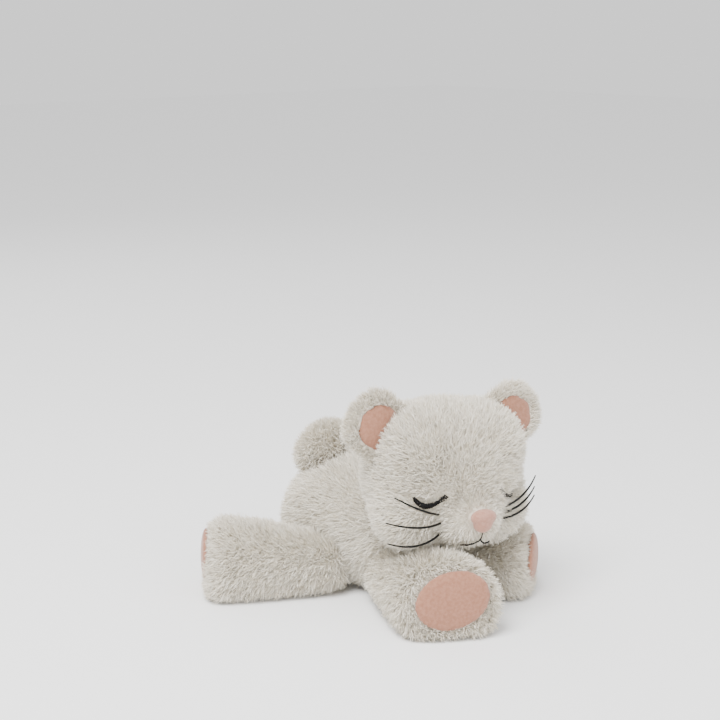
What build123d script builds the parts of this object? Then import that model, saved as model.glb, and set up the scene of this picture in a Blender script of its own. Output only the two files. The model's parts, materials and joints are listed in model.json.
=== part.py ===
"""A lying plush cat: stuffed torso, head, ears, arms, legs and tail, each sewn on at its own root.

Units are millimetres and +Z is up. The cat lies on its belly and faces -Y, so +X is its left
side. The origin is on the floor, under the middle of the torso. Every cloth shell is drawn out to
the top of its pile, and its filling is one closed solid inside it.
"""

import math
import os

from build123d import *

os.makedirs("parts", exist_ok=True)

# ---- cloth and clearances -------------------------------------------------------------------
fur_cloth = 7.0  # backing and standing pile of the white fur cloth
short_cloth = 3.0  # backing and nap of the short pink cloth
body_gap = 1.2  # room that one body leaves for another over its travel
socket_gap = 0.4  # room between the neck plug and the head around it
stitch_rise = 1.0  # how far embroidery stands out of the pile
stitch_cut = 50.0  # depth of the cutters that outline embroidery on the head
socket_reach = 45.0  # how far the well of a limb runs on past its root

# ---- torso ----------------------------------------------------------------------------------
torso_length = 176.0
chest_radius = 50.0
rump_radius = 59.0
torso_axis_height = 41.0
belly_seam_height = 26.0

# ---- head -----------------------------------------------------------------------------------
head_radius = 62.0
head_reach = 82.0  # head centre ahead of the torso's middle
head_height = 105.0
head_turned = -15.0  # the head looks this far to the cat's right
head_rolled = 3.0
muzzle_radius = 25.0
muzzle_ahead = 44.0
muzzle_drop = 22.0
face_seam_ahead = 30.0
chin_seam_drop = 38.0
gusset_width = 48.0
neck_plug_radius = 24.0

# ---- face -----------------------------------------------------------------------------------
nose_width = 22.0
nose_height = 18.0
nose_ahead = 68.0
nose_drop = 17.0
nose_bulge = 6.0
nose_steps = ((-1.0, 1.0), (0.3, 0.96), (1.0, 0.62))  # share of the bulge, share of the width
eye_aside = 37.0
eye_ahead = 50.0
eye_drop = 7.0
eye_bow = 16.0  # radius of the closed eye's downward bow
eye_bow_rise = 14.0  # how far the bow's centre is above the eye
eye_bow_angle = 96.0
eye_thread = 3.0
mouth_drop = 35.0
mouth_stem = 8.0
mouth_bend = (6.0, -6.5)
mouth_corner = (12.0, -11.0)
mouth_thread = 1.8
whisker_aside = 20.0
whisker_ahead = 50.0
whisker_rows = {"upper": (22.0, 24.0), "middle": (28.0, 8.0), "lower": (35.0, -3.0)}  # drop, climb
whisker_sweep = 0.12  # how much the whiskers point backwards
whisker_radius = 0.8
whisker_length = 50.0  # with the part that is buried in the pile
whisker_sag = 3.5

# ---- ears -----------------------------------------------------------------------------------
ear_width = 58.0
ear_height = 44.0
ear_thickness = 13.0
ear_spread = 53.0  # degrees from straight up to each ear's root
ear_seat = 1.0  # how far the root line stands off the head
ear_side = (0.98, 0.35)  # widest point of the outline, in shares of half the width and the height
ear_shoulder = (0.86, 0.62)
lining_width = 40.0
lining_height = 36.0

# ---- limbs and tail -------------------------------------------------------------------------
arm_root_radius = 26.0
arm_end_radius = 41.0
arm_axis_height = 24.0
right_arm_root = (-24.0, -52.0)
right_arm_heading = -17.0
right_arm_length = 103.0
left_arm_root = (29.0, -72.0)
left_arm_heading = 43.0
left_arm_length = 64.0
left_arm_end_radius = 36.0
leg_root_radius = 25.0
leg_end_radius = 40.0
leg_axis_height = 23.0
leg_aside = 55.0
leg_back = 1.0
leg_heading = 130.0
leg_length = 97.0
end_rounding = 12.0
pad_rim = 9.0  # fur rim left around a paw pad
tail_radius = 23.5
tail_root = (30.0, 84.0, 58.0)
tail_bend = (20.0, 64.0, 103.0)
tail_tip = (-12.0, 54.0, 97.0)

# ---- travel of the joints, degrees ----------------------------------------------------------
arm_out_travel = 20.0
arm_in_travel = 5.0
leg_travel = 15.0

written = []


def save(builder, name):
    """Label one finished piece and write it as its own file."""
    builder.part.label = name
    export_step(builder.part, f"parts/{name}.step")
    written.append(name)


def save_largest(builder, name):
    """Drop the crumbs that the wells cut loose and write the rest."""
    with BuildPart() as whole:
        add(builder.part.solids().sort_by(SortBy.VOLUME)[-1])
    save(whole, name)


def heading(angle):
    """Level direction that is turned from straight ahead (-Y) towards the cat's left."""
    return Vector(math.sin(math.radians(angle)), -math.cos(math.radians(angle)), 0)


# ---- the head's own frame -------------------------------------------------------------------
head_centre = Vector(0, -head_reach, head_height)
head_x = Vector(1, 0, 0).rotate(Axis.Y, head_rolled).rotate(Axis.Z, head_turned)
head_y = Vector(0, 1, 0).rotate(Axis.Z, head_turned)
head_plane = Plane(origin=head_centre, x_dir=head_x, z_dir=head_x.cross(head_y))
head_up = head_plane.z_dir


def on_head(x, y, z):
    """A point given in the head's own frame."""
    return head_plane.from_local_coords(Vector(x, y, z))


def ball(centre, radius):
    """A ball about a point."""
    with BuildPart(Plane(origin=centre)) as form:
        Sphere(radius)
    return form.part


def head_form(grow):
    """The round skull with its muzzle, grown outwards by `grow`."""
    muzzle_centre = on_head(0, -muzzle_ahead, -muzzle_drop)
    with BuildPart() as form:
        add(ball(head_centre, head_radius + grow))
        add(ball(muzzle_centre, muzzle_radius + grow))
    return form.part


def torso_form(grow):
    """A pear: round chest and rounder rump joined by a taper, flat on the floor."""
    chest = chest_radius + grow
    rump = rump_radius + grow
    chest_at = chest_radius - torso_length / 2
    rump_at = torso_length / 2 - rump_radius
    lean = math.degrees(math.asin((rump - chest) / (rump_at - chest_at)))
    with BuildPart() as form:
        with BuildSketch(Plane(origin=(0, 0, torso_axis_height), x_dir=(0, 1, 0), z_dir=(1, 0, 0))):
            with BuildLine():
                front = CenterArc((chest_at, 0), chest, 90 + lean, 90 - lean)
                back = CenterArc((rump_at, 0), rump, 0, 90 + lean)
                Line(front @ 0, back @ 1)
                Line(front @ 1, back @ 0)
            make_face()
        revolve(axis=Axis((0, 0, torso_axis_height), (0, 1, 0)))
        split(bisect_by=Plane.XY.offset(-grow), keep=Keep.TOP)
    return form.part


def limb_form(plane, length, root_radius, end_radius, grow):
    """A limb that widens from its round root to a flared end with a rounded rim."""
    root = root_radius + grow
    end = end_radius + grow
    tip = length + grow
    rim = end_rounding + grow
    with BuildPart() as form:
        with BuildSketch(plane):
            with BuildLine():
                CenterArc((0, 0), root, 90, 90)
                Line((0, root), (tip - rim, end))
                CenterArc((tip - rim, end - rim), rim, 0, 90)
                Polyline((tip, end - rim), (tip, 0), (-root, 0))
            make_face()
        revolve(axis=Axis(plane.origin, plane.x_dir))
        split(bisect_by=Plane.XY.offset(-grow), keep=Keep.TOP)
    return form.part


def limb_well(root, height, angle, travel, length, root_radius, end_radius):
    """The well that the torso leaves for a limb, wide enough to swing by `travel` either way."""
    room = root_radius + body_gap
    flare = (end_radius - root_radius) / (length - end_rounding)
    spread = math.radians(travel) + math.atan(flare)
    mouth = room / math.cos(spread) + socket_reach * math.tan(spread)
    bow = math.degrees(spread)
    with BuildPart() as form:
        with BuildSketch(Plane(origin=(*root, -fur_cloth), x_dir=heading(angle))):
            with BuildLine():
                bowl = CenterArc((0, 0), room, 90 + bow, 180 - 2 * bow)
                Polyline(bowl @ 0, (socket_reach, mouth), (socket_reach, -mouth), bowl @ 1)
            make_face()
        extrude(amount=fur_cloth + height + room + socket_reach * flare)
    return form.part


def limb_plane(root, height, angle):
    """Sketch plane whose X runs along the limb and whose Y points down.

    A form turned from a profile below its axis has its closing edge under the floor.
    """
    along = heading(angle)
    origin = Vector(root[0], root[1], height)
    return Plane(origin=origin, x_dir=along, z_dir=Vector(0, 0, 1).cross(along))


def tail_form(grow):
    """The tail: a thick roll from its root over the rump to its tip."""
    arc = ThreePointArc(tail_root, tail_bend, tail_tip)
    ring = Plane(origin=arc @ 0, z_dir=arc % 0)
    with BuildPart() as form:
        with BuildSketch(ring):
            Circle(tail_radius + grow)
        sweep(path=arc)
        add(ball(tail_root, tail_radius + grow))
        add(ball(tail_tip, tail_radius + grow))
    return form.part


def ear_plane(side):
    """Ear frame: X along the root seam, Y up the ear, Z out of its back."""
    lean = math.radians(ear_spread)
    up_dir = head_x * (side * math.sin(lean)) + head_up * math.cos(lean)
    root = head_centre + up_dir * (head_radius + ear_seat)
    return Plane(origin=root, x_dir=up_dir.cross(head_y), z_dir=head_y)


def ear_outline(plane, width, height, base):
    """Rounded triangle of an ear, from its root line at `base` to its tip."""
    half = width / 2
    side = (half * ear_side[0], height * ear_side[1])
    shoulder = (half * ear_shoulder[0], height * ear_shoulder[1])
    with BuildSketch(plane) as outline:
        with BuildLine():
            ThreePointArc((half, base), side, shoulder)
            ThreePointArc((-half, base), (-side[0], side[1]), (-shoulder[0], shoulder[1]))
            ThreePointArc(shoulder, (0, height), (-shoulder[0], shoulder[1]))
            Line((-half, base), (half, base))
        make_face()
    return outline.sketch


def ear_root(side, grow):
    """The rounded root that the ear folds about."""
    plane = ear_plane(side)
    start = Plane(origin=plane.origin - plane.x_dir * (ear_width / 2 + grow), z_dir=plane.x_dir)
    with BuildPart() as form:
        with BuildSketch(start):
            Circle(ear_thickness / 2 + grow)
        extrude(amount=ear_width + 2 * grow)
    return form.part


# ---- limbs ----------------------------------------------------------------------------------
right_arm_sizes = (right_arm_length, arm_root_radius, arm_end_radius)
left_arm_sizes = (left_arm_length, arm_root_radius, left_arm_end_radius)
leg_sizes = (leg_length, leg_root_radius, leg_end_radius)
right_arm_swing = (-arm_out_travel, arm_in_travel)
left_arm_swing = (-arm_in_travel, arm_out_travel)
leg_swing = (-leg_travel, leg_travel)
limbs = {
    "right_arm": (right_arm_root, arm_axis_height, right_arm_heading, right_arm_swing, right_arm_sizes),
    "left_arm": (left_arm_root, arm_axis_height, left_arm_heading, left_arm_swing, left_arm_sizes),
    "right_leg": ((-leg_aside, leg_back), leg_axis_height, -leg_heading, leg_swing, leg_sizes),
    "left_leg": ((leg_aside, leg_back), leg_axis_height, leg_heading, leg_swing, leg_sizes),
}

# ---- what the torso leaves room for ---------------------------------------------------------
seats = [ball(head_centre, head_radius + body_gap), tail_form(2 * body_gap)]
for root, height, angle, travel, sizes in limbs.values():
    middle = angle + sum(travel) / 2
    seats.append(limb_well(root, height, middle, (travel[1] - travel[0]) / 2, *sizes))

# ---- torso ----------------------------------------------------------------------------------
torso_inner = torso_form(-fur_cloth)
with BuildPart() as torso_stuffing:
    add(torso_inner)
    for seat in seats:
        add(seat, mode=Mode.SUBTRACT)
save_largest(torso_stuffing, "torso_stuffing")

with BuildPart() as torso_shell:
    add(torso_form(0))
    add(torso_inner, mode=Mode.SUBTRACT)
    for seat in seats:
        add(seat, mode=Mode.SUBTRACT)

belly_seam = Plane.XY.offset(belly_seam_height)
torso_panels = {
    "torso_belly_panel": [(belly_seam, Keep.BOTTOM)],
    "torso_back_left_panel": [(belly_seam, Keep.TOP), (Plane.YZ, Keep.TOP)],
    "torso_back_right_panel": [(belly_seam, Keep.TOP), (Plane.YZ, Keep.BOTTOM)],
}
for name, seams in torso_panels.items():
    with BuildPart() as panel:
        add(torso_shell.part)
        for seam, keep in seams:
            split(bisect_by=seam, keep=keep)
    save_largest(panel, name)

# ---- neck plug ------------------------------------------------------------------------------
with BuildPart() as neck_plug:
    add(ball(head_centre, neck_plug_radius))
save(neck_plug, "neck_stuffing")

# ---- head -----------------------------------------------------------------------------------
head_outer = head_form(0)
head_inner = head_form(-fur_cloth)
ear_seats = [ear_root(side, body_gap) for side in (-1, 1)]

with BuildPart() as head_shell:
    add(head_outer)
    add(head_inner, mode=Mode.SUBTRACT)
    for seat in ear_seats:
        add(seat, mode=Mode.SUBTRACT)

with BuildPart() as head_stuffing:
    add(head_inner)
    add(ball(head_centre, neck_plug_radius + socket_gap), mode=Mode.SUBTRACT)
    for seat in ear_seats:
        add(seat, mode=Mode.SUBTRACT)
save(head_stuffing, "head_stuffing")

face_seam = Plane(origin=on_head(0, -face_seam_ahead, 0), z_dir=head_y)
chin_seam = Plane(origin=on_head(0, 0, -chin_seam_drop), z_dir=head_up)
left_gusset_seam = Plane(origin=on_head(gusset_width / 2, 0, 0), z_dir=head_x)
right_gusset_seam = Plane(origin=on_head(-gusset_width / 2, 0, 0), z_dir=head_x)
head_panels = {
    "head_face_panel": [(face_seam, Keep.BOTTOM)],
    "head_chin_panel": [(face_seam, Keep.TOP), (chin_seam, Keep.BOTTOM)],
    "head_left_panel": [(face_seam, Keep.TOP), (chin_seam, Keep.TOP), (left_gusset_seam, Keep.TOP)],
    "head_right_panel": [(face_seam, Keep.TOP), (chin_seam, Keep.TOP), (right_gusset_seam, Keep.BOTTOM)],
    "head_gusset_panel": [
        (face_seam, Keep.TOP),
        (chin_seam, Keep.TOP),
        (left_gusset_seam, Keep.BOTTOM),
        (right_gusset_seam, Keep.TOP),
    ],
}
for name, seams in head_panels.items():
    with BuildPart() as panel:
        add(head_shell.part)
        for seam, keep in seams:
            split(bisect_by=seam, keep=keep)
    save(panel, name)

# ---- nose, eyes and mouth -------------------------------------------------------------------
nose_centre = on_head(0, -nose_ahead, -nose_drop)
nose_plane = Plane(origin=nose_centre, x_dir=head_x, z_dir=-head_y)
with BuildPart() as nose:
    for ahead, share in nose_steps:
        with BuildSketch(nose_plane.offset(nose_bulge * ahead)):
            Ellipse(nose_width / 2 * share, nose_height / 2 * share)
    loft()
    add(head_outer, mode=Mode.SUBTRACT)
save(nose, "nose_patch")

stitch_layer = head_form(stitch_rise)
eye_arc = CenterArc((0, eye_bow_rise), eye_bow, 270 - eye_bow_angle / 2, eye_bow_angle)
for side, name in ((-1, "right_eye_stitch"), (1, "left_eye_stitch")):
    look = on_head(side * eye_aside, -eye_ahead, -eye_drop) - head_centre
    eye_frame = Plane(origin=head_centre, x_dir=head_up.cross(look), z_dir=look.normalized())
    with BuildPart() as eye:
        with BuildSketch(eye_frame):
            SlotArc(arc=eye_arc, height=eye_thread)
        extrude(amount=head_radius + stitch_cut)
        add(stitch_layer, mode=Mode.INTERSECT)
        add(head_outer, mode=Mode.SUBTRACT)
    save(eye, name)

mouth_arcs = [
    ThreePointArc((0, -mouth_stem / 2), (side * mouth_bend[0], mouth_bend[1]), (side * mouth_corner[0], mouth_corner[1]))
    for side in (-1, 1)
]
mouth_frame = Plane(origin=on_head(0, -muzzle_ahead, -mouth_drop), x_dir=head_x, z_dir=-head_y)
with BuildPart() as mouth:
    with BuildSketch(mouth_frame):
        SlotCenterToCenter(mouth_stem, mouth_thread, rotation=90)
        for arc in mouth_arcs:
            SlotArc(arc=arc, height=mouth_thread)
    extrude(amount=stitch_cut)
    add(stitch_layer, mode=Mode.INTERSECT)
    add(head_outer, mode=Mode.SUBTRACT)
save(mouth, "mouth_stitch")

# ---- whiskers -------------------------------------------------------------------------------
for side, side_name in ((-1, "right"), (1, "left")):
    for row, (drop, climb) in whisker_rows.items():
        root = on_head(side * whisker_aside, -whisker_ahead, -drop)
        out = Vector(side * math.cos(math.radians(climb)), whisker_sweep, math.sin(math.radians(climb)))
        tip = root + (head_x * out.X + head_y * out.Y + head_up * out.Z) * whisker_length
        middle = (root + tip) * 0.5 - head_up * whisker_sag
        arc = ThreePointArc(root, middle, tip)
        with BuildPart() as whisker:
            with BuildSketch(Plane(origin=arc @ 0, z_dir=arc % 0)):
                Circle(whisker_radius)
            sweep(path=arc)
            add(head_outer, mode=Mode.SUBTRACT)
        save(whisker, f"{side_name}_{row}_whisker")

# ---- ears -----------------------------------------------------------------------------------
for side, side_name in ((-1, "right"), (1, "left")):
    plane = ear_plane(side)
    front = plane.offset(-ear_thickness / 2)
    with BuildPart() as lining:
        extrude(ear_outline(front, lining_width, lining_height, ear_thickness / 2), amount=short_cloth)
    save(lining, f"{side_name}_ear_lining")
    with BuildPart() as ear_back:
        extrude(ear_outline(front, ear_width, ear_height, 0), amount=ear_thickness)
        add(ear_root(side, 0))
        add(lining.part, mode=Mode.SUBTRACT)
    save(ear_back, f"{side_name}_ear_back")

# ---- arms and legs --------------------------------------------------------------------------
for limb_name, (root, height, angle, travel, sizes) in limbs.items():
    plane = limb_plane(root, height, angle)
    outer = limb_form(plane, *sizes, 0)
    inner = limb_form(plane, *sizes, -fur_cloth)
    dents = []
    pad_name = "sole_pad"
    if limb_name.endswith("arm"):
        pad_name = "paw_pad"
        for swing in (travel[0], 0, travel[1]):
            head_seat = ball(head_centre, head_radius + body_gap)
            dents.append(head_seat.rotate(Axis(plane.origin, (0, 0, 1)), -swing))
    length, root_radius, end_radius = sizes
    pad_radius = (end_radius + plane.origin.Z) / 2 - pad_rim
    pad_start = length - fur_cloth - body_gap
    pad_plane = Plane(origin=plane.origin + plane.x_dir * pad_start, z_dir=plane.x_dir)
    pad_middle = pad_plane.to_local_coords(pad_plane.origin + Vector(0, 0, (end_radius - plane.origin.Z) / 2))
    with BuildPart() as pad_punch:
        with BuildSketch(pad_plane):
            with Locations((pad_middle.X, pad_middle.Y)):
                Circle(pad_radius)
        extrude(amount=2 * fur_cloth)
    with BuildPart() as limb_stuffing:
        add(inner)
        for dent in dents:
            add(dent, mode=Mode.SUBTRACT)
    save(limb_stuffing, f"{limb_name}_stuffing")
    with BuildPart() as pad:
        add(outer)
        add(inner, mode=Mode.SUBTRACT)
        add(pad_punch.part, mode=Mode.INTERSECT)
    save(pad, f"{limb_name}_{pad_name}")
    seam = Plane.XY.offset(plane.origin.Z)
    for layer, keep in (("upper", Keep.TOP), ("under", Keep.BOTTOM)):
        with BuildPart() as panel:
            add(outer)
            add(inner, mode=Mode.SUBTRACT)
            for dent in dents:
                add(dent, mode=Mode.SUBTRACT)
            add(pad_punch.part, mode=Mode.SUBTRACT)
            split(bisect_by=seam, keep=keep)
        save(panel, f"{limb_name}_{layer}_panel")

# ---- tail -----------------------------------------------------------------------------------
tail_rise = Vector(*tail_bend) - Vector(*tail_root)
tail_fall = Vector(*tail_tip) - Vector(*tail_bend)
tail_seam = Plane(origin=tail_root, x_dir=tail_rise, z_dir=tail_rise.cross(tail_fall))
with BuildPart() as tail_stuffing:
    add(tail_form(-fur_cloth))
save(tail_stuffing, "tail_stuffing")
for layer, keep in (("back", Keep.TOP), ("front", Keep.BOTTOM)):
    with BuildPart() as panel:
        add(tail_form(0))
        add(tail_form(-fur_cloth), mode=Mode.SUBTRACT)
        split(bisect_by=tail_seam, keep=keep)
    save(panel, f"tail_{layer}_panel")

print(len(written), "pieces written")
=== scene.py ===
# %% [markdown]
# # A plush cat in Blender, lying on its paws
#
# The cat is soft, so every stuffed part is grown here as a closed cushion, puffed by a short
# cloth simulation, and then covered in real geometry for its pile. Joints and bodies come from
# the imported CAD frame. Units are metres, and sizes that start in millimetres use `MM`.

import json
import math
import random

import bmesh
import bpy
from mathutils import Matrix, Vector
from mathutils.bvhtree import BVHTree


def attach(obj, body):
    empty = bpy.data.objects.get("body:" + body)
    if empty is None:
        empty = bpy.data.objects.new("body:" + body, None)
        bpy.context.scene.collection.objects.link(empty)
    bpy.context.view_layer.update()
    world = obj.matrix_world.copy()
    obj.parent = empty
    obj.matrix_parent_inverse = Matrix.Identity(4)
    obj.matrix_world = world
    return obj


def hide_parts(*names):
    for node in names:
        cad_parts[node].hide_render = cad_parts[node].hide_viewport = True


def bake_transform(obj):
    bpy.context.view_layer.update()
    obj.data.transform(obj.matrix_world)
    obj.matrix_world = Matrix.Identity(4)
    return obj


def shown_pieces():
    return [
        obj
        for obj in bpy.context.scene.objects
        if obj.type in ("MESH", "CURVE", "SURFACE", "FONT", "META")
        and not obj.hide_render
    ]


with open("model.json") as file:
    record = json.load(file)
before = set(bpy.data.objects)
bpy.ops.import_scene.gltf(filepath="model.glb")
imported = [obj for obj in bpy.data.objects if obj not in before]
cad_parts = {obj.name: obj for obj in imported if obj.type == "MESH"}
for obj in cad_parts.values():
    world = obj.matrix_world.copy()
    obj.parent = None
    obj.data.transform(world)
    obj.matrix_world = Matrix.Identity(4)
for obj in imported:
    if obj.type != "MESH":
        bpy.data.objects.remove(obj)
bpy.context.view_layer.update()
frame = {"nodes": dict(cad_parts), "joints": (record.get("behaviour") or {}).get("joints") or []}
joints = {joint["name"]: joint for joint in frame["joints"]}
scene = bpy.context.scene
MM = 0.001

# %% [markdown]
# ## The frames that the parts are placed in
#
# The head turns about its own centre, so the head's joint gives its middle. The lift axis gives
# the head's left-right line, and the other two directions follow from it.

# %% Head frame and limb roots
random.seed(7)
head_at = Vector(joints["head_turn"]["pos_m"])
head_x = -Vector(joints["head_lift"]["axis"]).normalized()
head_y = Vector((-head_x.y, head_x.x, 0)).normalized()
head_up = head_x.cross(head_y).normalized()
head_matrix = Matrix((head_x, head_y, head_up)).transposed().to_4x4()
head_matrix.translation = head_at


def on_head(x, y, z):
    """A point in the head's frame, given in millimetres."""
    return head_matrix @ (Vector((x, y, z)) * MM)


def level(angle):
    """The level direction that is turned from -Y towards the cat's left."""
    return Vector((math.sin(math.radians(angle)), -math.cos(math.radians(angle)), 0))


def turned(at, angle):
    """A level frame at a point, with its -Y turned towards the cat's left."""
    return Matrix.Translation(at) @ Matrix.Rotation(math.radians(angle), 4, "Z")


limb_names = ("right_arm", "left_arm", "right_leg", "left_leg")
roots = {name: Vector(joints[f"{name}_swing"]["pos_m"]) for name in limb_names}
print("head centre", [round(value, 3) for value in head_at])

# %% [markdown]
# ## Materials
#
# The pile needs no pattern of its own, because the strands make it: roots sit in the shade of the pile and
# tips catch the light, and the roots also take a darker colour as painted shade. Short pink velour, sewing
# thread and bristle get their own materials, with bumps at the size of real nap.


# %% Material helpers
def linear(code):
    """An sRGB hex colour as linear RGBA."""
    channels = [int(code[k : k + 2], 16) / 255 for k in (1, 3, 5)]
    return (*[c / 12.92 if c <= 0.04045 else ((c + 0.055) / 1.055) ** 2.4 for c in channels], 1.0)


def add_node(tree, kind, links=(), **settings):
    """Add a node, set its properties or sockets, and link (from socket, to socket name) pairs."""
    node = tree.nodes.new(kind)
    for key, value in settings.items():
        if hasattr(node, key):
            setattr(node, key, value)
        else:
            node.inputs[key.replace("_", " ")].default_value = value
    for source, target in links:
        tree.links.new(source, node.inputs[target])
    return node


print("mid grey in linear light:", round(linear("#808080")[0], 3))


def cloth_material(name, colour, roughness, sheen):
    """A plain cloth or fibre material."""
    material = bpy.data.materials.new(name)
    material.use_nodes = True
    shader = material.node_tree.nodes["Principled BSDF"]
    shader.inputs["Base Color"].default_value = linear(colour)
    shader.inputs["Roughness"].default_value = roughness
    shader.inputs["Specular IOR Level"].default_value = 0.2
    shader.inputs["Sheen Weight"].default_value = sheen
    shader.inputs["Sheen Roughness"].default_value = 0.5
    return material


def velour_material(name, low, high):
    """Short brushed nap: fine mottling and a nap-sized bump."""
    material = cloth_material(name, high, 0.85, 0.35)
    tree = material.node_tree
    shader = tree.nodes["Principled BSDF"]
    coord = add_node(tree, "ShaderNodeTexCoord").outputs["Object"]
    patches = add_node(tree, "ShaderNodeTexNoise", [(coord, "Vector")], Scale=420.0, Detail=4.0)
    nap = add_node(tree, "ShaderNodeTexNoise", [(coord, "Vector")], Scale=1300.0, Detail=2.0)
    ramp = add_node(tree, "ShaderNodeValToRGB", [(patches.outputs["Fac"], "Fac")])
    ramp.color_ramp.elements[0].position = 0.35
    ramp.color_ramp.elements[0].color = linear(low)
    ramp.color_ramp.elements[1].position = 0.65
    ramp.color_ramp.elements[1].color = linear(high)
    height = (nap.outputs["Fac"], "Height")
    bump = add_node(tree, "ShaderNodeBump", [height], Strength=0.6, Distance=0.0006)
    tree.links.new(ramp.outputs["Color"], shader.inputs["Base Color"])
    tree.links.new(bump.outputs["Normal"], shader.inputs["Normal"])
    return material


# %% The cat's materials
# White acrylic pile: its foot sits in shade, so the root colour is a darker painted shade; its ends catch
# the light and carry the pile's white, and a few are yellower.
painted_shade_root = cloth_material("acrylic_root_painted_shade", "#e6dfd0", 0.95, 0.2)
fur_tip = cloth_material("fur_tip_acrylic", "#efe9dc", 0.9, 0.3)
fur_tip_warm = cloth_material("fur_tip_acrylic_warm", "#ebe3d2", 0.9, 0.3)
# Brushed polyester velour: matt, with a faint bright edge. The nose patch is a paler pink.
pink_velour = velour_material("pink_velour", "#9a6a54", "#a87862")
nose_velour = velour_material("nose_velour", "#a97a68", "#b58a78")
# Dull embroidery thread, smoother nylon bristle and loose white filling.
black_thread = cloth_material("black_thread", "#0b0a0a", 0.6, 0.0)
black_bristle = cloth_material("black_bristle", "#0c0c0c", 0.35, 0.0)
polyester_fill = cloth_material("polyester_fill", "#efefec", 0.95, 0.1)
print("materials", len(bpy.data.materials))

# %% [markdown]
# ## Soft bodies
#
# Each stuffed part starts as overlapping balls. A voxel remesh fuses them into one closed cushion
# with an even mesh, a little smoothing fillets the joins, and a short cloth simulation with air
# pressure inside tightens the cloth the way filling does.


# %% Soft-body helpers
FLOOR_GAP = 0.8 * MM  # the cloth's lowest faces stay this far above the floor
PUFF_LIMIT = 3 * MM  # the most that the filling may push the cloth out
PILE_STAND = 6  # how far the standing pile reaches out from the cloth, in millimetres
PUFF_FRAMES = 20


def mesh_object(name, bm):
    """Link a finished bmesh as an object at the origin."""
    mesh = bpy.data.meshes.new(name)
    bm.to_mesh(mesh)
    bm.free()
    piece = bpy.data.objects.new(name, mesh)
    scene.collection.objects.link(piece)
    return piece


def add_ball(bm, matrix, half, segments=32):
    """An ellipsoid with half sizes in millimetres, cut flat on the floor if it reaches it."""
    shape = matrix @ Matrix.Diagonal((*[size * MM for size in half], 1))
    made = bmesh.ops.create_uvsphere(
        bm, u_segments=segments, v_segments=segments // 2, radius=1, matrix=shape
    )
    geometry = made["verts"] + list({e for v in made["verts"] for e in v.link_edges})
    geometry += list({f for v in made["verts"] for f in v.link_faces})
    cut = bmesh.ops.bisect_plane(
        bm, geom=geometry, plane_co=(0, 0, FLOOR_GAP), plane_no=(0, 0, 1), clear_inner=True
    )
    rim = [g for g in cut["geom_cut"] if isinstance(g, bmesh.types.BMEdge)]
    if rim:
        bmesh.ops.contextual_create(bm, geom=rim)


def apply_modifiers(piece):
    """Freeze a piece's modifiers into its mesh."""
    evaluated = piece.evaluated_get(bpy.context.evaluated_depsgraph_get())
    frozen = bpy.data.meshes.new_from_object(evaluated)
    piece.modifiers.clear()
    old = piece.data
    piece.data = frozen
    bpy.data.meshes.remove(old)


def soften(piece, voxel, smooth):
    """Fuse overlapping balls into one even, smooth cushion."""
    remesh = piece.modifiers.new("fuse", "REMESH")
    remesh.mode = "VOXEL"
    remesh.voxel_size = voxel * MM
    remesh.use_smooth_shade = True
    relax = piece.modifiers.new("relax", "SMOOTH")
    relax.factor = 0.5
    relax.iterations = smooth
    apply_modifiers(piece)
    for vertex in piece.data.vertices:
        vertex.co.z = max(vertex.co.z, FLOOR_GAP)


def inflate(piece, pressure=4.0):
    """Let the filling press the cloth tight for a few frames, resting on the floor."""
    held = piece.vertex_groups.new(name="on_floor")
    held.add([v.index for v in piece.data.vertices if v.co.z < FLOOR_GAP + 2 * MM], 1.0, "REPLACE")
    before = [v.co.copy() for v in piece.data.vertices]
    cloth = piece.modifiers.new("filling", "CLOTH")
    cloth.settings.use_pressure = True
    cloth.settings.uniform_pressure_force = pressure
    cloth.settings.vertex_group_mass = "on_floor"
    cloth.settings.effector_weights.gravity = 0
    cloth.settings.quality = 5
    cloth.settings.mass = 0.3
    cloth.settings.tension_stiffness = 15
    cloth.settings.bending_stiffness = 0.5
    cloth.point_cache.frame_start = 1
    cloth.point_cache.frame_end = PUFF_FRAMES
    for step in range(1, PUFF_FRAMES + 1):
        scene.frame_set(step)
    apply_modifiers(piece)
    moved = 0.0
    for vertex, start in zip(piece.data.vertices, before):
        shift = vertex.co - start
        if shift.length > PUFF_LIMIT:
            vertex.co = start + shift.normalized() * PUFF_LIMIT
        vertex.co.z = max(vertex.co.z, FLOOR_GAP)
        moved = max(moved, (vertex.co - start).length)
    scene.frame_set(1)
    piece.vertex_groups.clear()
    print(piece.name, "puffed by up to", round(moved / MM, 2), "mm")


print("the filling may push the cloth out by", round(PUFF_LIMIT / MM, 1), "mm")

# %% Torso: a pear on its belly
torso_form = bmesh.new()
chest_at, rump_at = Vector((0, -38, 43)), Vector((0, 28, 44))
for share in (0.0, 0.2, 0.4, 0.6, 0.8, 1.0):
    radius = 50 + 9 * share - PILE_STAND
    at = chest_at.lerp(rump_at, share) * MM
    add_ball(torso_form, Matrix.Translation(at), (radius * 1.02, radius, radius * 0.96))
torso_skin = mesh_object("torso_skin", torso_form)
soften(torso_skin, 4.5, 12)
inflate(torso_skin)

# %% Head: skull, full cheeks and a small muzzle
head_form = bmesh.new()
add_ball(head_form, head_matrix @ Matrix.Translation((0, 0, 0.003)), (61, 54, 56))
for side in (-1, 1):
    add_ball(head_form, head_matrix @ Matrix.Translation((side * 0.034, -0.016, -0.021)), (29, 26, 27))
    add_ball(head_form, head_matrix @ Matrix.Translation((side * 0.027, -0.004, 0.025)), (33, 40, 33))
add_ball(head_form, head_matrix @ Matrix.Translation((0, -0.043, -0.023)), (25, 20, 18))
add_ball(head_form, head_matrix @ Matrix.Translation((0, -0.050, -0.018)), (14, 14, 12))
head_skin = mesh_object("head_skin", head_form)
soften(head_skin, 3.8, 14)
inflate(head_skin)


# %% [markdown]
# ### Arms and legs
#
# Each limb is a tapering tube of cloth that ends in a broad paw with a flat sole. A row of seven
# growing balls gives the taper, and one flattened ball at the end gives the sole. All four share
# one recipe, so each limb is one line of sizes, in millimetres and degrees.


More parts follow.
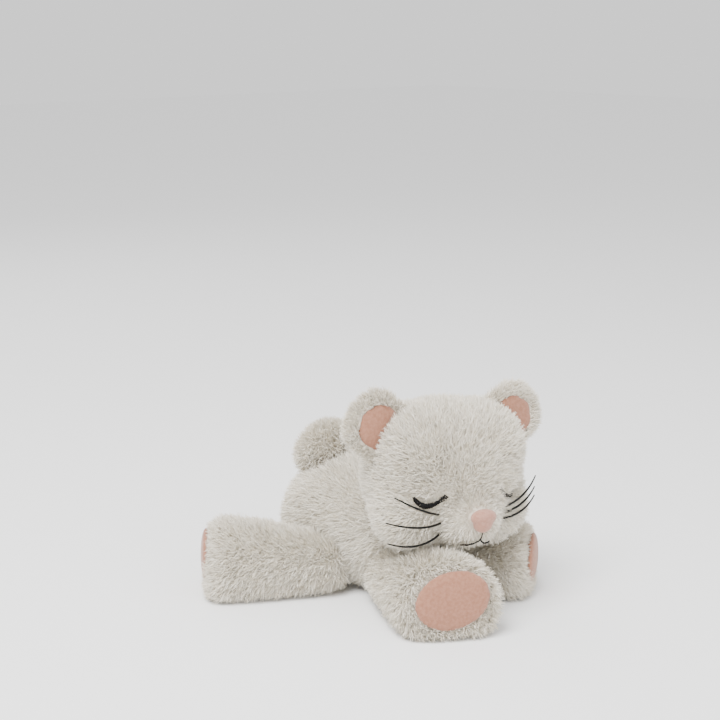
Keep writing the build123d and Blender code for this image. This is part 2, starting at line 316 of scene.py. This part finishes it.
# %% Limb sizes
LIMB_BALLS = 7
PAW_DEPTH = 26  # the last ball's middle stays this far behind the limb's end
SOLE_DEPTH = 15  # half the thickness of the flattened ball behind the sole


def limb_sizes(heading, length, root_radius, paw_radius, sole_heading, shift, height, half, roll):
    """One limb: its line, its sole's sideways shift, then its pad's height, halves and roll."""
    line = {"heading": heading, "length": length, "root_radius": root_radius}
    paw = {"paw_radius": paw_radius, "sole_heading": sole_heading, "shift": shift}
    return line | paw | {"pad_height": height, "pad_half": half, "pad_roll": roll}


limbs = {
    "right_arm": limb_sizes(-17, 103, 27, 43, -31, (3, -2), 33, (30, 24), -14),
    "left_arm": limb_sizes(43, 64, 27, 37, 36, (0, 0), 30, (22, 20), 0),
    "right_leg": limb_sizes(-130, 97, 28, 41, -128, (0, 0), 31, (23, 22), 0),
    "left_leg": limb_sizes(130, 97, 28, 41, 128, (0, 0), 31, (23, 22), 0),
}


def sole_middle(name):
    """The middle of the flattened ball at the end of a limb."""
    sizes = limbs[name]
    reach = level(sizes["heading"]) * ((sizes["length"] - SOLE_DEPTH) * MM)
    return roots[name] + reach + Vector((*sizes["shift"], 0)) * MM


print("limb lengths:", [sizes["length"] for sizes in limbs.values()], "mm")


# %% Arms and legs
def limb(name):
    """A limb from its root to a broad paw with a flattened sole."""
    form = bmesh.new()
    sizes = limbs[name]
    along = level(sizes["heading"])
    widening = sizes["paw_radius"] - sizes["root_radius"]
    last = sizes["length"] - PAW_DEPTH
    for k in range(LIMB_BALLS):
        share = k / (LIMB_BALLS - 1)
        radius = sizes["root_radius"] + widening * share - PILE_STAND
        at = roots[name] + along * (last * share * MM)
        at += Vector((*sizes["shift"], 0)) * (MM * share * share)
        reach = min(radius, sizes["length"] - PILE_STAND - 3 - last * share)
        add_ball(form, turned(at, sizes["heading"]), (radius, reach, radius * 0.98))
    wide = sizes["paw_radius"] - PILE_STAND
    sole_half = (wide + 1, SOLE_DEPTH - PILE_STAND * 0.3, wide)
    add_ball(form, turned(sole_middle(name), sizes["sole_heading"]), sole_half)
    piece = mesh_object(f"{name}_skin", form)
    soften(piece, 4.2, 9)
    inflate(piece)
    return piece


limb_skins = {name: limb(name) for name in limb_names}

# %% Tail: a thick roll laid over the rump
TAIL_RADIUS = 23.5
TAIL_BALLS = 9
tail_form = bmesh.new()
tail_root = Vector(joints["tail_lift"]["pos_m"])
tail_bend, tail_tip = Vector((20, 64, 103)) * MM, Vector((-12, 54, 97)) * MM
for k in range(TAIL_BALLS):
    share = k / (TAIL_BALLS - 1)
    first = tail_root.lerp(tail_bend, share)
    arch = Vector((0, 0, 6 * MM)) * math.sin(math.pi * share)
    at = first.lerp(tail_bend.lerp(tail_tip, share), share) + arch
    add_ball(tail_form, Matrix.Translation(at), (TAIL_RADIUS - PILE_STAND,) * 3)
tail_skin = mesh_object("tail_skin", tail_form)
soften(tail_skin, 3.6, 10)
inflate(tail_skin)

# %% [markdown]
# ## Ears, pads and nose
#
# The short pink cloth has no standing pile, so it is modelled on its own: a thin cushion for each
# ear lining, a domed patch for each paw and a rounded triangle for the nose.


# %% Ears
def ear_matrix(side_name):
    """Ear frame at its root: X along the seam, -Y to the front, Z up the ear."""
    root = Vector(joints[f"{side_name}_ear_fold"]["pos_m"])
    up = (root - head_at).normalized()
    across = head_y.cross(up).normalized()
    matrix = Matrix((across, head_y, up)).transposed().to_4x4()
    matrix.translation = root
    return matrix


def cushion(name, balls, voxel, smooth):
    """A small cushion from (matrix, half sizes) ellipsoids."""
    form = bmesh.new()
    for matrix, half in balls:
        add_ball(form, matrix, half)
    piece = mesh_object(name, form)
    soften(piece, voxel, smooth)
    return piece


ears = {}
for side_name in ("right", "left"):
    at = ear_matrix(side_name)
    back_balls = [(at @ Matrix.Translation((0, 0.001, 0.006)), (25, 6, 33)), (at, (26, 5.5, 14))]
    lining_balls = [(at @ Matrix.Translation((0, -0.0042, 0.006)), (17, 3.4, 25))]
    for side in (-1, 1):
        shoulder = Matrix.Translation((side * 0.011, 0.001, 0.016))
        back_balls.append((at @ shoulder, (14, 5.5, 20)))
        lining_shoulder = Matrix.Translation((side * 0.007, -0.0042, 0.014))
        lining_balls.append((at @ lining_shoulder, (11, 3.2, 14)))
    back = cushion(f"{side_name}_ear_fur", back_balls, 2.2, 5)
    inflate(back)
    lining = cushion(f"{side_name}_ear_lining_soft", lining_balls, 1.4, 3)
    ears[side_name] = (at, back, lining)

# %% [markdown]
# ### Pads
#
# A pad is an oval of velour let into the end of a paw, drawn domed by the filling behind it. One
# flattened ball that stands proud of the sole gives that dome.

# %% Paw and sole pads
PAD_HALF_THICK = 4.6
PAD_AHEAD = 13  # how far the pad's middle is beyond the middle of the sole's ball
pads = {}
for name, sizes in limbs.items():
    middle = sole_middle(name) + level(sizes["sole_heading"]) * (PAD_AHEAD * MM)
    middle.z = sizes["pad_height"] * MM
    roll = Matrix.Rotation(math.radians(sizes["pad_roll"]), 4, "Y")
    place = turned(middle, sizes["sole_heading"]) @ roll
    half = sizes["pad_half"]
    oval = [(place, (half[0], PAD_HALF_THICK, half[1]))]
    pads[name] = (place, cushion(f"{name}_pad_soft", oval, 1.6, 3), half)
print("pads:", len(pads))

# %% Nose
nose_balls = [
    (head_matrix @ Matrix.Translation((0, -0.0665, -0.0145)), (11.5, 5.5, 6.5)),
    (head_matrix @ Matrix.Translation((0, -0.0660, -0.0195)), (8.5, 5.5, 7.5)),
]
nose = cushion("nose_soft", nose_balls, 1.0, 6)
print("nose:", len(nose.data.polygons), "faces")

# %% [markdown]
# ## Embroidery and whiskers
#
# A closed eye is a bundle of satin stitches laid side by side across a drooping arc. The stitches
# lie on the pile and press it down, so the arc is found on the skin and lifted by a short pile.

# %% Stitch helpers
head_tree = BVHTree.FromObject(head_skin, bpy.context.evaluated_depsgraph_get())


def on_pile(x, y, z, lift):
    """The point above the head's skin that lies in line with a head-frame point."""
    outward = (on_head(x, y, z) - head_at).normalized()
    hit, normal, _, _ = head_tree.ray_cast(head_at + outward * 0.2, -outward)
    return hit + normal * (lift * MM), normal


def add_thread(bm, start, end, radius, sides=6):
    """One length of thread with rounded-looking tapered ends."""
    along = end - start
    matrix = Matrix.Translation((start + end) / 2)
    matrix = matrix @ along.to_track_quat("Z", "Y").to_matrix().to_4x4()
    bmesh.ops.create_cone(
        bm,
        cap_ends=True,
        segments=sides,
        radius1=radius * MM,
        radius2=radius * MM * 0.8,
        depth=along.length,
        matrix=matrix,
    )


def arc_point(points, share):
    """A point on the smooth bow through three points."""
    a, b, c = (Vector(point) for point in points)
    control = b * 2 - (a + c) / 2
    return a.lerp(control, share).lerp(control.lerp(c, share), share)


print("stitches lie on a skin of", len(head_skin.data.vertices), "vertices")


# %% Closed eyes
def satin_eye(name, points, lift, stitches=120):
    """Satin stitches across a bow, a little ragged at both ends."""
    bm = bmesh.new()
    for k in range(stitches):
        share = min(max(k / (stitches - 1) + random.uniform(-0.01, 0.01), 0), 1)
        here, normal = on_pile(*arc_point(points, share), lift)
        ahead, _ = on_pile(*arc_point(points, share + 0.02), lift)
        tangent = (ahead - here).normalized()
        across = tangent.cross(normal).normalized()
        slant = (across + tangent * random.uniform(-0.5, 0.5)).normalized()
        half = (1.0 + 0.9 * math.sin(math.pi * min(share * 1.15, 1)) + random.uniform(0, 0.5)) * MM
        if share > 0.86:
            half *= 1.5
        here += normal * random.uniform(-0.4, 0.5) * MM
        add_thread(bm, here - slant * half, here + slant * half, 0.42)
    return mesh_object(name, bm)


EYE_BOWS = [[(side * 49, -40, -3), (side * 41, -47, -9), (side * 27, -54, 1)] for side in (-1, 1)]
right_eye = satin_eye("right_eye_threads", EYE_BOWS[0], 4.2)
left_eye = satin_eye("left_eye_threads", EYE_BOWS[1], 0.8)
print("each eye:", len(right_eye.data.polygons), "faces of thread")

# %% Mouth: a short stem and two fine bows
MOUTH_STEPS = 8
mouth_form = bmesh.new()
paths = [[(0, -66, -27), (0, -66, -30), (0, -66, -34)]]
for side in (-1, 1):
    paths.append([(0, -66, -34), (side * 5, -65, -38.5), (side * 12, -60, -39)])
for path in paths:
    for strand in range(3):
        wander = [random.uniform(-0.3, 0.3) * MM for _ in range(MOUTH_STEPS + 1)]
        line = [on_pile(*arc_point(path, k / MOUTH_STEPS), 5.0)[0] for k in range(MOUTH_STEPS + 1)]
        line = [point + head_up * stray for point, stray in zip(line, wander)]
        for start, end in zip(line, line[1:]):
            add_thread(mouth_form, start, end + (end - start) * 0.15, 0.55)
mouth = mesh_object("mouth_threads", mouth_form)
print("mouth:", len(mouth.data.polygons), "faces of thread")

# %% [markdown]
# ### Whiskers
#
# Each whisker is one stiff bristle that starts inside the cheek. A poly curve with a round bevel
# takes the bow and the taper, and is made a mesh so that it can ride on the head.


# %% Whiskers: six tapered bristles
def whisker(name, side, aside, drop, climb, sweep, length, sag):
    """One bristle from inside the cheek, bowed forwards and sagging along its length."""
    root, normal = on_pile(side * aside, -48, -drop, -2)
    climb = math.radians(climb)
    out = head_x * (side * math.cos(climb)) + head_y * sweep + head_up * math.sin(climb)
    curve = bpy.data.curves.new(name, "CURVE")
    curve.dimensions = "3D"
    curve.bevel_depth = 0.9 * MM
    curve.bevel_resolution = 3
    curve.use_fill_caps = True
    spline = curve.splines.new("POLY")
    spline.points.add(15)
    for k, point in enumerate(spline.points):
        share = k / 15
        dip = (head_up * -sag - head_y * 6.5) * (4 * share * (1 - share) * MM)
        point.co = (*(root + out * (length * share * MM) + dip), 1)
        point.radius = 1 - 0.45 * max(share - 0.6, 0) / 0.4
    tube = bpy.data.objects.new(name, curve)
    scene.collection.objects.link(tube)
    evaluated = tube.evaluated_get(bpy.context.evaluated_depsgraph_get())
    mesh = bpy.data.meshes.new_from_object(evaluated)
    bpy.data.objects.remove(tube)
    piece = bpy.data.objects.new(name, mesh)
    scene.collection.objects.link(piece)
    return piece


whisker_rows = {
    "right_upper": (-1, 27, 18, 23, -0.1, 48, 1.5),
    "right_middle": (-1, 25, 23, 6, -0.1, 54, 2.5),
    "right_lower": (-1, 24, 32, -5, -0.1, 52, 5),
    "left_upper": (1, 30, 20, 32, 0.1, 44, 2),
    "left_middle": (1, 29, 25, 26, 0.1, 43, 2),
    "left_lower": (1, 28, 29, 20, 0.1, 43, 3),
}
whiskers = {name: whisker(f"{name}_bristle", *values) for name, values in whisker_rows.items()}
print("whiskers:", len(whiskers))

# %% [markdown]
# ## The pile
#
# The pile is real geometry. Four small tufts of tapering fibres are scattered over each skin,
# leaned over along the way the fur is brushed, and scaled by the pile's length at that place.
# Faces of a tuft use the darker root colour, a painted shade, low down and a tip colour above.


# %% Tufts
def tuft(name, tip, blades=6):
    """A lock of fibres one unit tall."""
    bm = bmesh.new()
    for _ in range(blades):
        made = bmesh.ops.create_grid(bm, x_segments=1, y_segments=2, size=0.5)
        turn = Matrix.Rotation(random.uniform(0, math.tau), 4, "Z")
        foot = Vector((random.uniform(-0.2, 0.2), random.uniform(-0.2, 0.2), 0))
        lean = Vector((random.uniform(-0.28, 0.28), random.uniform(-0.28, 0.28), 0))
        tall = random.uniform(0.75, 1.05)
        for vertex in made["verts"]:
            height = vertex.co.y + 0.5
            width = 0.065 * (1 - 0.85 * height)
            flat = turn @ Vector((vertex.co.x * 2 * width, 0.05 * height * height, 0))
            vertex.co = flat + foot + lean * height * height + Vector((0, 0, tall * height))
    bm.faces.ensure_lookup_table()
    for face in bm.faces:
        # the lower faces of each blade take the root colour, which is painted shade
        face.material_index = 1 if face.calc_center_median().z > 0.45 else 0
    mesh = bpy.data.meshes.new(name)
    bm.to_mesh(mesh)
    bm.free()
    mesh.materials.append(painted_shade_root)
    mesh.materials.append(tip)
    piece = bpy.data.objects.new(name, mesh)
    tufts.objects.link(piece)
    return piece


tufts = bpy.data.collections.new("tufts")
scene.collection.children.link(tufts)
for index, tip in enumerate((fur_tip, fur_tip_warm, fur_tip, fur_tip)):
    tuft(f"tuft_{index}", tip)


# %% The scattering network
def fur_network():
    """Geometry nodes that scatter the tufts over a skin by its `pile` and `lay` attributes."""
    tree = bpy.data.node_groups.new("fur", "GeometryNodeTree")
    tree.interface.new_socket("Geometry", in_out="INPUT", socket_type="NodeSocketGeometry")
    tree.interface.new_socket("Density", in_out="INPUT", socket_type="NodeSocketFloat")
    tree.interface.new_socket("Seed", in_out="INPUT", socket_type="NodeSocketInt")
    tree.interface.new_socket("Geometry", in_out="OUTPUT", socket_type="NodeSocketGeometry")
    group_in = add_node(tree, "NodeGroupInput")
    pile = add_node(tree, "GeometryNodeInputNamedAttribute", data_type="FLOAT", Name="pile")
    lay = add_node(tree, "GeometryNodeInputNamedAttribute", data_type="FLOAT_VECTOR", Name="lay")
    grows = add_node(tree, "FunctionNodeCompare", [(pile.outputs["Attribute"], 0)], operation="GREATER_THAN")
    grows.inputs[1].default_value = 0.8 * MM
    points = add_node(
        tree,
        "GeometryNodeDistributePointsOnFaces",
        [
            (group_in.outputs["Geometry"], "Mesh"),
            (grows.outputs["Result"], "Selection"),
            (group_in.outputs["Density"], "Density"),
            (group_in.outputs["Seed"], "Seed"),
        ],
    )
    keep_normal = add_node(
        tree,
        "GeometryNodeStoreNamedAttribute",
        [(points.outputs["Points"], "Geometry"), (points.outputs["Normal"], "Value")],
        data_type="FLOAT_VECTOR",
        Name="skin_normal",
    )
    stray = add_node(tree, "FunctionNodeRandomValue", data_type="FLOAT_VECTOR")
    stray.inputs[0].default_value = (-0.3, -0.3, -0.3)
    stray.inputs[1].default_value = (0.3, 0.3, 0.3)
    strand = add_node(tree, "ShaderNodeVectorMath", operation="ADD")
    tree.links.new(lay.outputs["Attribute"], strand.inputs[0])
    tree.links.new(stray.outputs["Value"], strand.inputs[1])
    spin = add_node(tree, "FunctionNodeRandomValue", data_type="FLOAT_VECTOR")
    spin.inputs[1].default_value = (0, 0, math.tau)
    aim = add_node(
        tree,
        "FunctionNodeAlignRotationToVector",
        [(spin.outputs["Value"], "Rotation"), (strand.outputs["Vector"], "Vector")],
    )
    vary = add_node(tree, "FunctionNodeRandomValue", data_type="FLOAT")
    vary.inputs[2].default_value = 0.78
    vary.inputs[3].default_value = 1.15
    size = add_node(tree, "ShaderNodeMath", operation="MULTIPLY")
    tree.links.new(pile.outputs["Attribute"], size.inputs[0])
    tree.links.new(vary.outputs[1], size.inputs[1])
    source = add_node(tree, "GeometryNodeCollectionInfo", Collection=tufts)
    source.inputs["Separate Children"].default_value = True
    source.inputs["Reset Children"].default_value = True
    place = add_node(
        tree,
        "GeometryNodeInstanceOnPoints",
        [
            (keep_normal.outputs["Geometry"], "Points"),
            (source.outputs["Instances"], "Instance"),
            (aim.outputs["Rotation"], "Rotation"),
            (size.outputs["Value"], "Scale"),
        ],
    )
    place.inputs["Pick Instance"].default_value = True
    real = add_node(tree, "GeometryNodeRealizeInstances", [(place.outputs["Instances"], "Geometry")])
    skin_normal = add_node(
        tree, "GeometryNodeInputNamedAttribute", data_type="FLOAT_VECTOR", Name="skin_normal"
    )
    own_normal = add_node(tree, "GeometryNodeInputNormal")
    mixed = add_node(tree, "ShaderNodeMix", data_type="VECTOR")
    mixed.inputs["Factor"].default_value = 0.12
    tree.links.new(skin_normal.outputs["Attribute"], mixed.inputs[4])
    tree.links.new(own_normal.outputs["Normal"], mixed.inputs[5])
    soft = add_node(
        tree,
        "GeometryNodeSetMeshNormal",
        [(real.outputs["Geometry"], "Mesh")],
        mode="FREE",
        domain="POINT",
    )
    tree.links.new(mixed.outputs[1], soft.inputs["Custom Normal"])
    both = add_node(tree, "GeometryNodeJoinGeometry", [(group_in.outputs["Geometry"], "Geometry")])
    tree.links.new(soft.outputs["Mesh"], both.inputs["Geometry"])
    add_node(tree, "NodeGroupOutput", [(both.outputs["Geometry"], "Geometry")])
    return tree


network = fur_network()
print("fur network:", len(network.nodes), "nodes")

# %% Growing the pile
LEAN = 0.9  # how far the pile leans over, against standing straight up
PRESSED = 0.3 * MM  # pile under the cat lies flat on the floor


def grow(skin, pile, flow, density, seed):
    """Write how long the pile is and which way it lies, then scatter the tufts and freeze them."""
    mesh = skin.data
    lengths = mesh.attributes.new("pile", "FLOAT", "POINT")
    lays = mesh.attributes.new("lay", "FLOAT_VECTOR", "POINT")
    for vertex in mesh.vertices:
        normal = vertex.normal
        length = pile(vertex.co) * MM
        brushed = flow(vertex.co)
        brushed = brushed - normal * brushed.dot(normal)
        lay = (normal + brushed * LEAN).normalized()
        deepest = -max(vertex.co.z - FLOOR_GAP, 0) / max(length, MM)
        lay.z = max(lay.z, deepest + 0.3)
        if vertex.co.z < FLOOR_GAP + 0.6 * MM and normal.z < -0.4:
            length = 0.0
        lengths.data[vertex.index].value = length
        lays.data[vertex.index].vector = lay
    modifier = skin.modifiers.new("fur", "NODES")
    modifier.node_group = network
    items = network.interface.items_tree
    sockets = {item.name: item.identifier for item in items if item.in_out == "INPUT"}
    modifier[sockets["Density"]] = density * 1e6  # from square millimetres to square metres
    modifier[sockets["Seed"]] = seed
    # the bare skin under the pile takes the root colour too, which is painted shade
    mesh.materials.append(painted_shade_root)
    apply_modifiers(skin)
    for vertex in skin.data.vertices:
        vertex.co.z = max(vertex.co.z, PRESSED)
    print(skin.name, len(skin.data.polygons), "faces with its pile")


print("the pile leans by", round(math.degrees(math.atan(LEAN))), "degrees")

# %% How long the pile is, part by part
skins = {
    "torso": torso_skin,
    "head": head_skin,
    **limb_skins,
    "tail": tail_skin,
    "right_ear": ears["right"][1],
    "left_ear": ears["left"][1],
}
depsgraph = bpy.context.evaluated_depsgraph_get()
trees = {name: BVHTree.FromObject(skin, depsgraph) for name, skin in skins.items()}
pressed = [on_pile(*arc_point(bow, k / 6), 0)[0] for bow in EYE_BOWS for k in range(7)]
lips = [on_pile(*arc_point(path, k / 4), 0)[0] for path in paths for k in range(5)]
nose_at = on_head(0, -66, -16)


def room_beside(name, point):
    """How much room the pile has before it meets another part's skin, in millimetres."""
    room = 99.0
    for other, tree in trees.items():
        if other == name:
            continue
        spot, normal, _, _ = tree.find_nearest(point, 0.03)
        if spot is not None:
            room = min(room, (point - spot).dot(normal) / MM)
    return room


def squeezed(name, point, length):
    """The pile's length after its neighbours press on it; nothing grows inside a neighbour."""
    room = room_beside(name, point)
    return 0.0 if room < 0.3 else min(length, room + 4.0)


def ease(distance, inner, outer):
    """0 inside `inner`, 1 beyond `outer`, both in millimetres."""
    share = min(max((distance / MM - inner) / (outer - inner), 0), 1)
    return share * share * (3 - 2 * share)


def head_pile(point):
    """Short on the muzzle, pressed flat under the embroidery, full on the cheeks and crown."""
    front = ease((point - nose_at).length, 14, 52)
    length = 5.8 + 2.6 * front
    length *= 0.35 + 0.65 * ease(min((point - spot).length for spot in pressed), 1.5, 7)
    length *= 0.45 + 0.55 * ease(min((point - spot).length for spot in lips), 1.0, 5)
    if (point - nose_at).length < 9.5 * MM:
        return 0.0
    return squeezed("head", point, length)


def head_flow(point):
    """Brushed away from the nose."""
    return (point - nose_at).normalized()


def on_pad(name, point):
    """How far across a pad a point lies: below 1 is on the pad."""
    place, _, half = pads[name]
    local = place.inverted() @ point / MM
    if local.y > 7:
        return 9.0
    return math.hypot(local.x / half[0], local.z / half[1])


def limb_pile(name):
    """Full pile on a limb, none under its pad."""

    def pile(point):
        across = on_pad(name, point)
        return 0.0 if across < 0.94 else squeezed(name, point, 8.5 if across > 1.3 else 6.5)

    return pile


def limb_flow(name):
    """Brushed from the root to the paw, and out around the pad."""
    along = level(limbs[name]["heading"]) + Vector((0, 0, -0.35))
    outward = level(limbs[name]["sole_heading"]) * 1.3

    def flow(point):
        return outward if on_pad(name, point) < 1.3 else along

    return flow


def ear_pile(name, side_name):
    """Short pile on the back and rim of an ear, none under its lining."""
    place = ears[side_name][0].inverted()

    def pile(point):
        local = place @ point / MM
        lined = local.y < 0.5 and math.hypot(local.x / 19.0, (local.z - 8) / 23.0) < 0.97
        return 0.0 if lined else squeezed(name, point, 6.5)

    return pile


print("pile at the crown:", round(head_pile(on_head(0, 0, 60)), 1), "mm")

# %% Grow it
DENSITY = 0.27  # tufts per square millimetre
BODY_PILE = 8.5
torso_flow, tail_flow = Vector((0, 0.8, -0.5)), Vector((-0.8, -0.4, 0.1))
grow(torso_skin, lambda p: squeezed("torso", p, BODY_PILE), lambda p: torso_flow, DENSITY, 1)
grow(head_skin, head_pile, head_flow, DENSITY, 2)
for seed, name in enumerate(limb_names):
    grow(skins[name], limb_pile(name), limb_flow(name), DENSITY, 10 + seed)
grow(tail_skin, lambda p: squeezed("tail", p, BODY_PILE), lambda p: tail_flow, DENSITY, 20)
for seed, side_name in enumerate(("right", "left")):
    up = ears[side_name][0].to_3x3() @ Vector((0, -0.15, 1))
    pile = ear_pile(f"{side_name}_ear", side_name)
    grow(ears[side_name][1], pile, lambda p, up=up: up, DENSITY * 1.3, 30 + seed)
bpy.data.collections.remove(tufts)

# %% [markdown]
# ## Finish the pieces and hand most to their bodies
#
# Each visible piece stands for the CAD solids that it replaces. The torso, head, tail, pads, nose,
# embroidery and whiskers ride on their CAD bodies, while the limb skins and the ears are frozen in place.
# The wad of filling at the neck keeps its CAD shape, hidden inside the head.


# %% Bodies, replaced nodes and finishes
LIMB_BEND = 48  # how far along a limb its bend entry reaches, in millimetres
EAR_BEND = 16


def hand_over(piece, body, nodes, material=None, bend=None):
    """Finish one piece: its material and shading, its body or, when a bend is given, only a frozen place,
    and the CAD nodes it hides.
    """
    if material is not None:
        piece.data.materials.clear()
        piece.data.materials.append(material)
        piece.data.shade_smooth()
    if bend is None:
        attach(piece, body)
    else:
        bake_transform(piece)
    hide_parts(*nodes)


torso_nodes = [node for node in frame["nodes"] if node.startswith("torso_")]
hand_over(torso_skin, "torso", torso_nodes)
head_nodes = ["head_face_panel", "head_chin_panel", "head_left_panel", "head_right_panel"]
head_nodes += ["head_gusset_panel", "head_stuffing"]
hand_over(head_skin, "head", head_nodes)
tail_nodes = ["tail_back_panel", "tail_front_panel", "tail_stuffing"]
hand_over(tail_skin, "tail", tail_nodes)
for name in limb_names:
    limb_nodes = [f"{name}_upper_panel", f"{name}_under_panel", f"{name}_stuffing"]
    bend = ("torso", roots[name], roots[name] + level(limbs[name]["heading"]) * (LIMB_BEND * MM))
    hand_over(skins[name], name, limb_nodes, bend=bend)
    pad_node = f"{name}_paw_pad" if name.endswith("arm") else f"{name}_sole_pad"
    hand_over(pads[name][1], name, [pad_node], pink_velour)
for side_name, (place, back, lining) in ears.items():
    bend = ("head", place.translation, place @ Vector((0, 0, EAR_BEND * MM)))
    ear = f"{side_name}_ear"
    hand_over(back, ear, [f"{ear}_back"], bend=bend)
    hand_over(lining, ear, [f"{ear}_lining"], pink_velour, bend)
hand_over(nose, "head", ["nose_patch"], nose_velour)
hand_over(right_eye, "head", ["right_eye_stitch"], black_thread)
hand_over(left_eye, "head", ["left_eye_stitch"], black_thread)
hand_over(mouth, "head", ["mouth_stitch"], black_thread)
for name, piece in whiskers.items():
    hand_over(piece, "head", [f"{name}_whisker"], black_bristle)
neck_node = frame["nodes"]["neck_stuffing"]
neck_node.data.materials.clear()
neck_node.data.materials.append(polyester_fill)
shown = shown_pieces()
print(len(shown), "pieces,", sum(len(p.data.polygons) for p in shown), "faces")

# %% [markdown]
# ## Floor, light and camera
#
# A pale sweep of floor, one broad key light above and to the left of the camera, and a weak fill.

# %% Stage
bm = bmesh.new()
bmesh.ops.create_grid(bm, x_segments=1, y_segments=1, size=6)
floor = mesh_object("floor", bm)
floor.data.materials.append(cloth_material("floor_paper", "#fbfbfb", 0.9, 0.0))  # matt white paper


def area_light(name, at, power, size, target=Vector((0, -0.03, 0.06))):
    """A square soft light aimed at the cat."""
    data = bpy.data.lights.new(name, "AREA")
    data.energy = power
    data.size = size
    lamp = bpy.data.objects.new(name, data)
    lamp.location = at
    lamp.rotation_euler = (target - lamp.location).to_track_quat("-Z", "Y").to_euler()
    scene.collection.objects.link(lamp)


area_light("key", Vector((-0.8, -0.3, 1.6)), 56, 0.9)
area_light("fill", Vector((0.2, -1.9, 0.9)), 12, 1.6)
area_light("back", Vector((0.3, 1.5, 1.2)), 6, 1.2)
print("lights:", len(bpy.data.lights))
world = bpy.data.worlds.new("studio")
world.use_nodes = True
world.node_tree.nodes["Background"].inputs["Color"].default_value = linear("#ffffff")
world.node_tree.nodes["Background"].inputs["Strength"].default_value = 1.15
scene.world = world

# %% Camera
azimuth, elevation, distance = math.radians(-45), math.radians(17), 1.25
flat = math.cos(elevation)
toward = Vector((math.sin(azimuth) * flat, -math.cos(azimuth) * flat, math.sin(elevation)))
camera = bpy.data.objects.new("camera", bpy.data.cameras.new("camera"))
camera.data.lens = 78
camera.data.sensor_width = 36
camera.location = head_at + toward * distance
right = Vector((math.cos(azimuth), math.sin(azimuth), 0))
upward = toward.cross(right)
aim = head_at - right * 0.0665 + upward * 0.0921
camera.rotation_euler = (aim - camera.location).to_track_quat("-Z", "Y").to_euler()
scene.collection.objects.link(camera)
scene.camera = camera
print("camera at", [round(value, 3) for value in camera.location])
